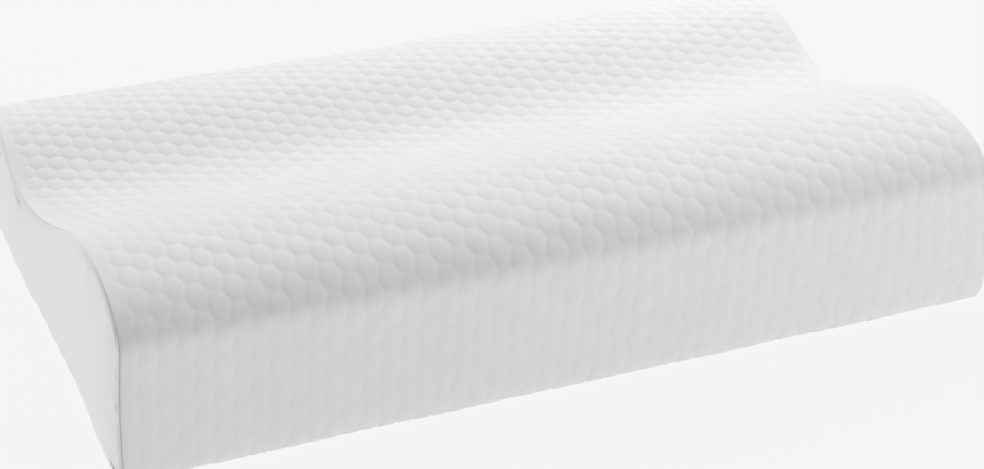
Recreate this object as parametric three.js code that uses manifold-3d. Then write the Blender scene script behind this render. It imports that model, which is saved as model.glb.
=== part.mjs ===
// Contour bed pillow: a moulded foam core in a thin liner, inside a quilted knit cover with a zip.
// Millimetres, +Z up. +X runs along the length and -Y is the side with the high lobe. The origin is
// under the middle of the pillow, on the plane that it rests on.

import * as THREE from 'three';
import { mergeVertices } from 'three/addons/utils/BufferGeometryUtils.js';
import Module from 'manifold-3d';

const wasm = await Module();
wasm.setup();

// Overall size of the covered pillow
const LENGTH = 600;
const WIDTH = 350;
const HALF_LENGTH = LENGTH / 2;
const HALF_WIDTH = WIDTH / 2;

// Cross-section: two lobes with a hollow for the head between them
const FRONT_CREST = 126;
const FRONT_BELT = 96;
const FRONT_SHOULDER_DEPTH = 60;
const FRONT_SHOULDER_POWER = 2.5;
const FRONT_HEEL_DEPTH = 9;
const FRONT_HEEL_HEIGHT = 22;
const FRONT_HEEL_POWER = 3;
const VALLEY_HEIGHT = 74;
const VALLEY_Y = 41;
const BACK_CREST = 89;
const BACK_BELT = 47.5;
const BACK_SHOULDER_DEPTH = 64;
const BACK_SHOULDER_POWER = 2.2;
const BACK_HEEL_DEPTH = 22;
const BACK_HEEL_POWER = 2.4;
const QUARTER_STEPS = 12;
const SLOPE_STEPS = 14;

// Layers, each measured inwards from the outside of the cover
const GAP = 0.3;
const WRAP_THICKNESS = 3;
const LINER_INSET = 6.3;
const LINER_THICKNESS = 0.8;
const CORE_INSET = LINER_INSET + LINER_THICKNESS + GAP;
const CORE_HALF_LENGTH = 291;
const LINER_HALF_LENGTH = 291.4;

// Ends of the cover: a welt round the edge and a plain panel set into it
const WELT_WIDTH = 3.5;
const WELT_DEPTH = 2.3;
const END_PANEL_THICKNESS = 1.6;
const END_PANEL_RECESS = 1;
const WRAP_HALF_LENGTH = HALF_LENGTH - WELT_WIDTH - GAP;

// Zip, low on the back wall
const ZIP_HEIGHT = 20;
const ZIP_SLOT_HALF_LENGTH = 243;
const ZIP_SLOT_HALF_WIDTH = 6;
const TAPE_HALF_LENGTH = 250;
const TAPE_REACH = 13;
const TAPE_HALF_GAP = 1.2;
const TAPE_THICKNESS = 0.6;
const TAPE_INSET = WRAP_THICKNESS + GAP;
const COIL_WIDTH = 2.2;
const COIL_THICKNESS = 1.7;
const COIL_START_X = -240;

// Slider and pull, measured from the outside of the wall, with the slider at the closed end
const SLIDER_X = 232;
const SLIDER_HALF_LENGTH = 4.5;
const SLIDER_HALF_WIDTH = 4;
const SLIDER_PLATE = 0.9;
const SLIDER_TOP = 0.1;
const SLIDER_BACK = -4.6;
const SLIDER_FLANGE_WIDTH = 0.9;
const SLIDER_FLANGE_DEPTH = 1.5;
const POST_START = 2.8;
const POST_WIDTH = 1.4;
const BRIDGE_HALF_LENGTH = 3.2;
const BRIDGE_THICKNESS = 0.7;
const BRIDGE_HEADROOM = 1.6;
const BRIDGE_WIDTH = 1.4;
const PULL_AXIS_HEIGHT = 0.9;
const PULL_THICKNESS = 1.1;
const PULL_LENGTH = 24;
const PULL_WIDTH = 7;
const PULL_NECK_WIDTH = 4.8;
const PULL_NECK_END = 7;
const PULL_WINDOW_WIDTH = 2.4;
const PULL_WINDOW_END = 4.6;
const STOP_LENGTH = 2.5;
const STOP_CLEARANCE = 0.5;
const STOP_THICKNESS = 1.4;

// Care label, sewn into the end seam and lying on the back wall
const LABEL_LENGTH = 40;
const LABEL_BOTTOM = 3;
const LABEL_TOP = 25;
const LABEL_THICKNESS = 0.8;

const finish = {
  quilt: new THREE.MeshStandardMaterial({ color: 0xf1f0ed, roughness: 0.95, metalness: 0 }),
  knit: new THREE.MeshStandardMaterial({ color: 0xeeedea, roughness: 0.92, metalness: 0 }),
  liner: new THREE.MeshStandardMaterial({ color: 0xf6f6f4, roughness: 0.9, metalness: 0 }),
  foam: new THREE.MeshStandardMaterial({ color: 0xf2e9cf, roughness: 1, metalness: 0 }),
  tape: new THREE.MeshStandardMaterial({ color: 0xececea, roughness: 0.85, metalness: 0 }),
  coil: new THREE.MeshStandardMaterial({ color: 0xf4f4f2, roughness: 0.45, metalness: 0 }),
  slider: new THREE.MeshStandardMaterial({ color: 0xe6e6e4, roughness: 0.35, metalness: 0.3 }),
  label: new THREE.MeshStandardMaterial({ color: 0xfafaf8, roughness: 0.6, metalness: 0 }),
};

const pillow = new THREE.Group();
const zipFrame = new THREE.Group();

// A quarter of a superellipse about (y, z), from one angle to the other.
function quarter(y, z, depth, height, power, startAngle) {
  const points = [];
  for (let step = 0; step < QUARTER_STEPS; step += 1) {
    const angle = startAngle + (step / QUARTER_STEPS) * (Math.PI / 2);
    const across = Math.cos(angle);
    const up = Math.sin(angle);
    points.push(new THREE.Vector2(
      y + depth * Math.sign(across) * Math.abs(across) ** (2 / power),
      z + height * Math.sign(up) * Math.abs(up) ** (2 / power),
    ));
  }
  return points;
}

// A smooth slope between two level points.
function slope(startY, startZ, endY, endZ) {
  const points = [];
  for (let step = 0; step < SLOPE_STEPS; step += 1) {
    const part = step / SLOPE_STEPS;
    const blend = (1 - Math.cos(part * Math.PI)) / 2;
    points.push(new THREE.Vector2(startY + (endY - startY) * part, startZ + (endZ - startZ) * blend));
  }
  return points;
}

// The cross-section in Y and Z, starting at the back and going over the top, shrunk by an inset.
function contour(inset) {
  const frontCrestY = FRONT_SHOULDER_DEPTH - HALF_WIDTH;
  const backCrestY = HALF_WIDTH - BACK_SHOULDER_DEPTH;
  const frontHeelY = FRONT_HEEL_DEPTH - HALF_WIDTH;
  const backHeelY = HALF_WIDTH - BACK_HEEL_DEPTH;
  return [
    ...quarter(backCrestY, BACK_BELT, BACK_SHOULDER_DEPTH - inset, BACK_CREST - BACK_BELT - inset,
      BACK_SHOULDER_POWER, 0),
    ...slope(backCrestY, BACK_CREST - inset, VALLEY_Y, VALLEY_HEIGHT - inset),
    ...slope(VALLEY_Y, VALLEY_HEIGHT - inset, frontCrestY, FRONT_CREST - inset),
    ...quarter(frontCrestY, FRONT_BELT, FRONT_SHOULDER_DEPTH - inset, FRONT_CREST - FRONT_BELT - inset,
      FRONT_SHOULDER_POWER, Math.PI / 2),
    ...quarter(frontHeelY, FRONT_HEEL_HEIGHT, FRONT_HEEL_DEPTH - inset, FRONT_HEEL_HEIGHT - inset,
      FRONT_HEEL_POWER, Math.PI),
    ...quarter(backHeelY, BACK_BELT, BACK_HEEL_DEPTH - inset, BACK_BELT - inset,
      BACK_HEEL_POWER, 1.5 * Math.PI),
  ];
}

// Turns an outline drawn in Y and Z into a solid between two values of X.
function slab(outline, startX, endX, holeOutline) {
  const shape = new THREE.Shape(outline);
  if (holeOutline) shape.holes.push(new THREE.Path(holeOutline));
  const geometry = new THREE.ExtrudeGeometry(shape, { depth: endX - startX, bevelEnabled: false });
  const turn = new THREE.Matrix4().makeBasis(
    new THREE.Vector3(0, 1, 0),
    new THREE.Vector3(0, 0, 1),
    new THREE.Vector3(1, 0, 0),
  );
  return geometry.applyMatrix4(turn).translate(startX, 0, 0);
}

// A slab between two distances from the middle, at the left end (-1) or at the right end (1).
function endSlab(direction, outline, near, far, holeOutline) {
  const ends = [direction * near, direction * far].sort((a, b) => a - b);
  return slab(outline, ...ends, holeOutline);
}

// A box between two corners.
function block(low, high) {
  const size = high.map((value, axis) => value - low[axis]);
  const middle = high.map((value, axis) => (value + low[axis]) / 2);
  return new THREE.BoxGeometry(...size).translate(...middle);
}

function toSolid(geometry) {
  const bare = geometry.clone();
  bare.deleteAttribute('normal');
  bare.deleteAttribute('uv');
  const merged = mergeVertices(bare, 1e-4);
  return new wasm.Manifold(new wasm.Mesh({
    numProp: 3,
    vertProperties: new Float32Array(merged.attributes.position.array),
    triVerts: new Uint32Array(merged.index.array),
  }));
}

function toGeometry(solid) {
  const mesh = solid.getMesh();
  const geometry = new THREE.BufferGeometry();
  geometry.setAttribute('position', new THREE.BufferAttribute(new Float32Array(mesh.vertProperties), 3));
  geometry.setIndex(new THREE.BufferAttribute(new Uint32Array(mesh.triVerts), 1));
  geometry.computeVertexNormals();
  return geometry;
}

function joined(geometries) {
  return toGeometry(geometries.map(toSolid).reduce((whole, piece) => whole.add(piece)));
}

function cut(geometry, tool) {
  return toGeometry(toSolid(geometry).subtract(toSolid(tool)));
}

function common(geometry, tool) {
  return toGeometry(toSolid(geometry).intersect(toSolid(tool)));
}

function addPiece(group, name, geometry, material) {
  const piece = new THREE.Mesh(geometry, material);
  piece.name = name;
  group.add(piece);
}

// Distance of the cover's back wall from the middle, and how far it leans, at a height below the belt.
function backWall(height) {
  const drop = (BACK_BELT - height) / BACK_BELT;
  const rest = 1 - drop ** BACK_HEEL_POWER;
  const reach = HALF_WIDTH - BACK_HEEL_DEPTH + BACK_HEEL_DEPTH * rest ** (1 / BACK_HEEL_POWER);
  const lean = drop ** (BACK_HEEL_POWER - 1) * rest ** (1 / BACK_HEEL_POWER - 1);
  return { reach, angle: Math.atan((lean * BACK_HEEL_DEPTH) / BACK_BELT) };
}

function addFoamCore() {
  const core = slab(contour(CORE_INSET), -CORE_HALF_LENGTH, CORE_HALF_LENGTH);
  addPiece(pillow, 'foam_core', core, finish.foam);
}

function addLiner() {
  const outside = contour(LINER_INSET);
  const inside = contour(LINER_INSET + LINER_THICKNESS);
  const sleeve = slab(outside, -LINER_HALF_LENGTH, LINER_HALF_LENGTH, inside);
  addPiece(pillow, 'liner_sleeve', sleeve, finish.liner);
  const near = LINER_HALF_LENGTH + GAP;
  const far = near + LINER_THICKNESS;
  addPiece(pillow, 'liner_end_left', endSlab(-1, outside, near, far), finish.liner);
  addPiece(pillow, 'liner_end_right', endSlab(1, outside, near, far), finish.liner);
}

// The quilted panel goes all the way round, with a slot for the zip in its back wall.
function addCoverWrap() {
  const sleeve = slab(contour(0), -WRAP_HALF_LENGTH, WRAP_HALF_LENGTH, contour(WRAP_THICKNESS));
  const slot = block(
    [-ZIP_SLOT_HALF_LENGTH, HALF_WIDTH - BACK_HEEL_DEPTH, ZIP_HEIGHT - ZIP_SLOT_HALF_WIDTH],
    [ZIP_SLOT_HALF_LENGTH, HALF_WIDTH + 1, ZIP_HEIGHT + ZIP_SLOT_HALF_WIDTH],
  );
  addPiece(pillow, 'cover_wrap', cut(sleeve, slot), finish.quilt);
}

function addCoverEnd(side, direction) {
  const welt = endSlab(direction, contour(0), HALF_LENGTH - WELT_WIDTH, HALF_LENGTH, contour(WELT_DEPTH));
  const face = HALF_LENGTH - END_PANEL_RECESS;
  const panel = endSlab(direction, contour(WELT_DEPTH + GAP), face - END_PANEL_THICKNESS, face);
  addPiece(pillow, `seam_welt_${side}`, welt, finish.knit);
  addPiece(pillow, `cover_end_${side}`, panel, finish.knit);
}

// The two zip tapes follow the inside of the wall, on either side of the zip's middle plane.
function addZipTapes() {
  const band = slab(contour(TAPE_INSET), -TAPE_HALF_LENGTH, TAPE_HALF_LENGTH,
    contour(TAPE_INSET + TAPE_THICKNESS));
  const middle = ZIP_HEIGHT + (TAPE_INSET + TAPE_THICKNESS / 2) * Math.sin(backWall(ZIP_HEIGHT).angle);
  for (const [name, low, high] of [
    ['zip_tape_upper', middle + TAPE_HALF_GAP, middle + TAPE_REACH],
    ['zip_tape_lower', middle - TAPE_REACH, middle - TAPE_HALF_GAP],
  ]) {
    const keep = block([-LENGTH, HALF_WIDTH - 2 * BACK_HEEL_DEPTH, low], [LENGTH, HALF_WIDTH, high]);
    addPiece(pillow, name, common(band, keep), finish.tape);
  }
}

// In the zip's frame X runs along the zip, Y points out of the wall and Z lies up the wall.
function placeZipFrame() {
  const wall = backWall(ZIP_HEIGHT);
  zipFrame.position.set(0, wall.reach, ZIP_HEIGHT);
  zipFrame.rotation.x = -wall.angle;
  pillow.add(zipFrame);
}

function addZipCoils() {
  const outer = GAP - TAPE_INSET + COIL_THICKNESS;
  const end = SLIDER_X + POST_START - GAP;
  for (const [name, low] of [['zip_coil_upper', GAP / 2], ['zip_coil_lower', -GAP / 2 - COIL_WIDTH]]) {
    const coil = block([COIL_START_X, outer - COIL_THICKNESS, low], [end, outer, low + COIL_WIDTH]);
    addPiece(zipFrame, name, coil, finish.coil);
  }
}

// Two plates with a post between them, rims that turn over the coils, and a bridge that holds the pull.
function sliderBody() {
  const long = SLIDER_HALF_LENGTH;
  const wide = SLIDER_HALF_WIDTH;
  const underTop = SLIDER_TOP - SLIDER_PLATE;
  const back = SLIDER_BACK - SLIDER_PLATE;
  const rimEdge = underTop - SLIDER_FLANGE_DEPTH;
  const rimInside = wide - SLIDER_FLANGE_WIDTH;
  const bridgeTop = SLIDER_TOP + BRIDGE_HEADROOM + BRIDGE_THICKNESS;
  const bridgeSide = BRIDGE_WIDTH / 2;
  const reach = BRIDGE_HALF_LENGTH;
  return joined([
    block([-long, underTop, -wide], [long, SLIDER_TOP, wide]),
    block([-long, back, -wide], [long, SLIDER_BACK, wide]),
    block([POST_START, back, -POST_WIDTH / 2], [long, SLIDER_TOP, POST_WIDTH / 2]),
    block([-long, rimEdge, rimInside], [long, SLIDER_TOP, wide]),
    block([-long, rimEdge, -wide], [long, SLIDER_TOP, -rimInside]),
    block([-reach, bridgeTop - BRIDGE_THICKNESS, -bridgeSide], [reach, bridgeTop, bridgeSide]),
    block([-reach, underTop, -bridgeSide], [BRIDGE_THICKNESS - reach, bridgeTop, bridgeSide]),
    block([reach - BRIDGE_THICKNESS, underTop, -bridgeSide], [reach, bridgeTop, bridgeSide]),
  ]);
}

// A flat tab with a window at its neck, whose end bar lies under the slider's bridge.
function pullTab() {
  const outline = new THREE.Shape();
  const neck = PULL_NECK_WIDTH / 2;
  const wide = PULL_WIDTH / 2;
  const bar = PULL_THICKNESS / 2;
  outline.moveTo(bar, -neck);
  outline.lineTo(bar, neck);
  outline.lineTo(-PULL_NECK_END, neck);
  outline.lineTo(-PULL_NECK_END - 2, wide);
  outline.lineTo(wide - PULL_LENGTH, wide);
  outline.absarc(wide - PULL_LENGTH, 0, wide, Math.PI / 2, 1.5 * Math.PI, false);
  outline.lineTo(-PULL_NECK_END - 2, -wide);
  outline.lineTo(-PULL_NECK_END, -neck);
  outline.closePath();
  const slot = PULL_WINDOW_WIDTH / 2;
  outline.holes.push(new THREE.Path([
    new THREE.Vector2(-bar, -slot),
    new THREE.Vector2(-PULL_WINDOW_END, -slot),
    new THREE.Vector2(-PULL_WINDOW_END, slot),
    new THREE.Vector2(-bar, slot),
  ]));
  const geometry = new THREE.ExtrudeGeometry(outline, {
    depth: PULL_THICKNESS,
    bevelEnabled: false,
    curveSegments: 8,
  });
  return geometry.translate(0, 0, -bar).rotateX(Math.PI / 2);
}

function addSliderAndPull() {
  addPiece(zipFrame, 'zip_slider', sliderBody().translate(SLIDER_X, 0, 0), finish.slider);
  addPiece(zipFrame, 'zip_pull', pullTab().translate(SLIDER_X, PULL_AXIS_HEIGHT, 0), finish.slider);
}

// One stop on each tape at the closed end, and one across both at the other end.
function addZipStops() {
  const base = GAP - TAPE_INSET;
  const outer = base + STOP_THICKNESS;
  const start = SLIDER_X + SLIDER_HALF_LENGTH + STOP_CLEARANCE;
  const near = TAPE_HALF_GAP;
  const far = TAPE_HALF_GAP + COIL_WIDTH;
  addPiece(zipFrame, 'zip_top_stop_upper',
    block([start, base, near], [start + STOP_LENGTH, outer, far]), finish.slider);
  addPiece(zipFrame, 'zip_top_stop_lower',
    block([start, base, -far], [start + STOP_LENGTH, outer, -near]), finish.slider);
  const end = COIL_START_X - GAP;
  addPiece(zipFrame, 'zip_bottom_stop',
    block([end - STOP_LENGTH, base, -far], [end, outer, far]), finish.slider);
}

function addCareLabel() {
  const end = WRAP_HALF_LENGTH;
  const sheet = slab(contour(-GAP - LABEL_THICKNESS), end - LABEL_LENGTH, end, contour(-GAP));
  const keep = block([-LENGTH, 0, LABEL_BOTTOM], [LENGTH, WIDTH, LABEL_TOP]);
  addPiece(pillow, 'care_label', common(sheet, keep), finish.label);
}

addFoamCore();
addLiner();
addCoverWrap();
addCoverEnd('left', -1);
addCoverEnd('right', 1);
addZipTapes();
placeZipFrame();
addZipCoils();
addSliderAndPull();
addZipStops();
addCareLabel();

export default pillow;
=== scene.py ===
"""A contour foam pillow in a honeycomb-quilted knit cover, with plain end panels and a zip at the back."""
import math

import bmesh
import bpy
import numpy as np
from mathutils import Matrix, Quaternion, Vector


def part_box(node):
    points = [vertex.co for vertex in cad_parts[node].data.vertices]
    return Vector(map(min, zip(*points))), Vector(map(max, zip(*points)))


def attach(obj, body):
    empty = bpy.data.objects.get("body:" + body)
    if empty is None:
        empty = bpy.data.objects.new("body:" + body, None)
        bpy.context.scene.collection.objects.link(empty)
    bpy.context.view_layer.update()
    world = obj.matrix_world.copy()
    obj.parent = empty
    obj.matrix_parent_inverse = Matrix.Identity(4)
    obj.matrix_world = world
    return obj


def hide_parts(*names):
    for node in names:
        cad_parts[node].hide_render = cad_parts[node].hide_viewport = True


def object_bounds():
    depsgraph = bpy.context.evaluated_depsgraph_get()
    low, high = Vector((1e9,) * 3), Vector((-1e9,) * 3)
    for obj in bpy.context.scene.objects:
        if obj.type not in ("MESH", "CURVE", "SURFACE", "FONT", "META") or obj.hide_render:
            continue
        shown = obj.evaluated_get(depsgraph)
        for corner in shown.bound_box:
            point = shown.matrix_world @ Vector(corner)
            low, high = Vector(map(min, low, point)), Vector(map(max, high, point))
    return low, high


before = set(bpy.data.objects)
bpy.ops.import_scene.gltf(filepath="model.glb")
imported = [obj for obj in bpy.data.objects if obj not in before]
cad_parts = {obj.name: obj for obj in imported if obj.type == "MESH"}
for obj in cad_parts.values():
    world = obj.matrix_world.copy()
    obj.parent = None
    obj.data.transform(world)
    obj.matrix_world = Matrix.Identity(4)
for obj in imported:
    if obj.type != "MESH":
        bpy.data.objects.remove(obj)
cad_low, cad_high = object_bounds()

MM = 0.001

# Cover, as a net of rings round the pillow that the cloth simulation puffs out
NET_AROUND = 168
NET_ALONG = 103
CAP_RINGS = 12
START_INSET = 1.2 * MM
PUFF_PRESSURE = 2.2
PUFF_FRAMES = 20
PUFF_REACH = 3.5 * MM
SEAM_HOLD = 1.0
FOAM_HOLD = 0.35
SETTLE_ROUNDS = 14

# Honeycomb quilting: columns of cells run over the pillow from back to front. The knit is
# bunched over the low lobe and drawn out down the front, so the cells' length changes on the way:
# (distance round from the zip, cell length, share of the full relief)
COLUMN_PITCH = 12.4 * MM
CELL_LENGTHS = (
    (0 * MM, 13.5 * MM, 0.8),
    (90 * MM, 11.5 * MM, 1.0),
    (165 * MM, 11.5 * MM, 1.0),
    (215 * MM, 15.0 * MM, 0.85),
    (300 * MM, 18.0 * MM, 1.0),
    (370 * MM, 19.5 * MM, 1.0),
    (430 * MM, 23.0 * MM, 0.6),
    (500 * MM, 24.0 * MM, 0.55),
    (560 * MM, 19.0 * MM, 0.6),
    (874 * MM, 14.0 * MM, 0.8),
)
COLUMN_SPREAD = 0.0018
ROW_SLANT = 0.06
LEFT_ROW_LIFT = 9.0 * MM
LEFT_LIFT_REACH = 70 * MM
COLUMN_LEAN = 16.0 * MM
LEAN_MIDDLE = 150 * MM
LEAN_WIDTH = 55 * MM
QUILT_HEIGHT = 1.0 * MM
QUILT_RINGS = ((0.5, 0.85, 0.80), (0.82, 0.45, 0.43))
QUILT_DRIFT = 0.9 * MM
PLAIN_BORDER = 5.0 * MM
BORDER_FADE = 9.0 * MM

# Seams: the quilted panel stops just short of the end and rolls under there, and at the zip it is hemmed
END_LINE = 0.9 * MM
ROLL_RADIUS = 3.4 * MM
ROLL_CUTS = (0.12, 0.45, 1.0, 1.9, 3.2)
HEM_RADIUS = 1.6 * MM
HEM_CUTS = (0.1, 0.4, 0.9, 1.6)
TUCK_UNDER = 3.5 * MM
OPENING_REACH = 18 * MM
SEAM_GAP = 1.9 * MM
FRONT_SEAM_GAP = 4.8 * MM
RIGHT_SEAM_GAP = 1.6 * MM
RIGHT_SET_BACK = 1.4 * MM
END_PANEL_RINGS = 46
END_PANEL_AROUND = 640
WELT_AROUND = 900
WELT_DEPTH = 0.5 * MM
WELT_TUCK = 5.0 * MM
RIGHT_WELT_DEPTH = 1.4 * MM
LEFT_WELT_OVERLAP = -0.35
# The welt's folds after its first edge: (share of the way across the gap, height in mm)
WELT_FOLD = ((0.05, -2.5), (0.3, -1.35), (0.55, -1.0), (0.8, -1.3), (1.0, -2.4), (1.5, -3.4))
WELT_FOOT = -3.4
PUCKER_COUNT = 46
PUCKER_DEPTH = 0.9 * MM

# Zip and its topstitching
COIL_PITCH = 1.3 * MM
COIL_THREAD = 0.26 * MM
COIL_REACH = 1.35 * MM
COIL_SET_OFF = 1.05 * MM
COIL_RISE = 0.55 * MM
STITCHING_REACH = 0.246
STITCHING_INSET = 2.6 * MM
STITCH_LENGTH = 2.4 * MM
STITCH_SPACE = 0.7 * MM
STITCH_RADIUS = 0.22 * MM

FLOOR_HEIGHT = -0.3 * MM
FLOOR_REACH = 6.0
SOFTBOX_SIZE = 1.3
SOFTBOX_AIM = Vector((0, 0, 0.05))

# Hand-sewn shape: how far the filled cover stands out from straight lines
FRONT_BELLY = 2.0 * MM
RIGHT_END_BELLY = 9.0 * MM
END_WAVE = 1.6 * MM


# ---------------------------------------------------------------- camera

def make_camera():
    camera_data = bpy.data.cameras.new("Camera")
    camera_data.lens = 83.3
    camera_data.sensor_width = 36
    camera_data.shift_x = 0.0605
    camera_data.shift_y = -0.0241
    camera_data.clip_end = 20
    camera = bpy.data.objects.new("Camera", camera_data)
    bpy.context.scene.collection.objects.link(camera)
    turn = math.radians(-24.75)
    rise = math.radians(32.8)
    roll = math.radians(3.6)
    distance = 1.532
    back = Vector((math.sin(turn) * math.cos(rise), -math.cos(turn) * math.cos(rise), math.sin(rise)))
    camera.location = Vector((-0.0363, -0.0202, 0.05)) + back * distance
    camera.rotation_mode = "QUATERNION"
    camera.rotation_quaternion = (-back).to_track_quat("-Z", "Y") @ Quaternion((0, 0, 1), roll)
    bpy.context.scene.camera = camera


# ---------------------------------------------------------------- small helpers

def smooth_step(value, low, high):
    part = np.clip((value - low) / (high - low), 0, 1)
    return part * part * (3 - 2 * part)


def node_middle(name):
    low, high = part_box(name)
    return (low + high) / 2


def make_piece(name, points, faces, material, body="pillow"):
    mesh = bpy.data.meshes.new(name)
    mesh.from_pydata([tuple(p) for p in points], [], faces)
    mesh.update()
    piece = bpy.data.objects.new(name, mesh)
    bpy.context.scene.collection.objects.link(piece)
    mesh.materials.append(material)
    mesh.polygons.foreach_set("use_smooth", [True] * len(mesh.polygons))
    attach(piece, body)
    return piece


def face_outwards(piece):
    shape = bmesh.new()
    shape.from_mesh(piece.data)
    bmesh.ops.recalc_face_normals(shape, faces=shape.faces)
    shape.to_mesh(piece.data)
    shape.free()


def lay_cloth_map(piece, across, along):
    """Gives the piece a map of its cloth in metres, so that the knit keeps its size and direction."""
    layer = piece.data.uv_layers.new(name="Cloth")
    corners = np.empty(len(piece.data.loops), dtype=np.int64)
    piece.data.loops.foreach_get("vertex_index", corners)
    flat = np.column_stack([across[corners], along[corners]]).astype(np.float32)
    layer.data.foreach_set("uv", flat.ravel())


def grid_faces(rows, columns, wrap=False):
    faces = []
    for row in range(rows - 1):
        for column in range(columns if wrap else columns - 1):
            after = (column + 1) % columns
            faces.append((row * columns + column, row * columns + after,
                          (row + 1) * columns + after, (row + 1) * columns + column))
    return faces


def rim_faces(rows, columns, step):
    """Faces that join the rims of two grids of points, the second one numbered a step after the first."""
    rim = list(range(columns)) + [i * columns + columns - 1 for i in range(1, rows)]
    rim += [(rows - 1) * columns + k for k in range(columns - 2, -1, -1)]
    rim += [i * columns for i in range(rows - 2, 0, -1)]
    return [(a, b, step + b, step + a) for a, b in zip(rim, rim[1:] + rim[:1])]


def gentle_noise(across, along, seed, waves, shortest, longest):
    """A sum of a few plane waves, between about -1 and 1, over a cloth measured in metres."""
    draw = np.random.RandomState(seed)
    total = np.zeros(np.broadcast(across, along).shape)
    for _ in range(waves):
        length = draw.uniform(shortest, longest)
        angle = draw.uniform(0, math.pi)
        phase = draw.uniform(0, 2 * math.pi)
        path = across * math.cos(angle) + along * math.sin(angle)
        total += np.sin(path * 2 * math.pi / length + phase)
    return total / math.sqrt(waves)


# ---------------------------------------------------------------- cross-section

def end_panel_edge():
    """The corners of the end panel's outline in Y and Z, in order round it."""
    low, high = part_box("cover_end_left")
    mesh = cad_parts["cover_end_left"].data
    spots = {(round(v.co.y, 6), round(v.co.z, 6)) for v in mesh.vertices if v.co.x < (low.x + high.x) / 2}
    middle_y = (low.y + high.y) / 2
    inner_z = (low.z + high.z) / 3
    return np.array(sorted(spots, key=lambda p: math.atan2(p[1] - inner_z, p[0] - middle_y)))


def spaced_evenly(loop, count):
    closed = np.vstack([loop, loop[:1]])
    steps = np.linalg.norm(np.diff(closed, axis=0), axis=1)
    run = np.concatenate([[0], np.cumsum(steps)])
    wanted = np.linspace(0, run[-1], count, endpoint=False)
    return np.column_stack([np.interp(wanted, run, closed[:, k]) for k in range(2)]), run[-1]


def outward(loop):
    """Unit normals of a loop that runs anticlockwise."""
    along = np.roll(loop, -1, axis=0) - np.roll(loop, 1, axis=0)
    along /= np.linalg.norm(along, axis=1)[:, None]
    return np.column_stack([along[:, 1], -along[:, 0]])


def cover_section():
    """The outside of the cover in Y and Z: evenly spaced points from the zip, up and over to the front."""
    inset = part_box("cover_end_left")[0].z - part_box("cover_wrap")[0].z
    fine, _ = spaced_evenly(end_panel_edge(), 2000)
    spread = 8
    reach = 3 * spread
    rounding = np.exp(-0.5 * (np.arange(-reach, reach + 1) / spread) ** 2)
    rounding /= rounding.sum()
    padded_loop = np.vstack([fine[-reach:], fine, fine[:reach]])
    fine = np.column_stack([np.convolve(padded_loop[:, k], rounding, mode="valid") for k in range(2)])
    fine = fine + outward(fine) * inset
    zip_spot = node_middle("zip_bottom_stop")
    start = np.argmin(np.hypot(fine[:, 0] - zip_spot.y, fine[:, 1] - zip_spot.z))
    return spaced_evenly(np.roll(fine, -start, axis=0), NET_AROUND)


# ---------------------------------------------------------------- puffed body of the cover

def end_belly(x, ring):
    """How far the cover's end stands out at a ring of points: most low down at the right front."""
    low_front = smooth_step(-ring[:, 0], 0.05, 0.15) * smooth_step(-ring[:, 1], -0.105, -0.045)
    near_end = smooth_step(abs(x), 0.16, 0.30)
    wave = END_WAVE * gentle_noise(ring[:, 0], ring[:, 1], 12 if x < 0 else 13, 4, 0.12, 0.3)
    belly = RIGHT_END_BELLY * low_front if x > 0 else 0
    return near_end * (belly + wave) * (1 if x > 0 else -1)


def rest_net(section):
    """The cover before it is puffed out: rings along X, then rings that close each end."""
    half = cad_high.x - 1.5 * MM
    stations = np.linspace(-half, half, NET_ALONG)
    normals = outward(section)
    front = smooth_step(-normals[:, 0], 0.6, 0.95)
    ring = section + normals * (FRONT_BELLY * front - START_INSET)[:, None]
    net = np.empty((NET_ALONG, NET_AROUND, 3))
    for index, x in enumerate(stations):
        net[index, :, 0] = x + end_belly(x, ring)
        net[index, :, 1:] = ring
    middle = section.mean(axis=0)
    caps = np.empty((2, CAP_RINGS, NET_AROUND, 3))
    for side, x in enumerate((-half, half)):
        for ring in range(CAP_RINGS):
            part = 1 - (ring + 1) / (CAP_RINGS + 1)
            spots = middle + (net[0, :, 1:] - middle) * part
            caps[side, ring, :, 0] = x + end_belly(x, spots)
            caps[side, ring, :, 1:] = spots
    centres = np.array([[x + end_belly(x, middle[None])[0], *middle] for x in (-half, half)])
    return net, caps, centres


def net_faces():
    faces = grid_faces(NET_ALONG, NET_AROUND, wrap=True)
    wrap_points = NET_ALONG * NET_AROUND
    cap_points = CAP_RINGS * NET_AROUND
    for side in range(2):
        edge = 0 if side == 0 else (NET_ALONG - 1) * NET_AROUND
        first = wrap_points + side * cap_points
        rings = [edge] + [first + ring * NET_AROUND for ring in range(CAP_RINGS)]
        for outer, inner in zip(rings, rings[1:]):
            for column in range(NET_AROUND):
                after = (column + 1) % NET_AROUND
                faces.append((outer + column, outer + after, inner + after, inner + column))
        centre = wrap_points + 2 * cap_points + side
        for column in range(NET_AROUND):
            faces.append((rings[-1] + column, rings[-1] + (column + 1) % NET_AROUND, centre))
    return faces


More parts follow.
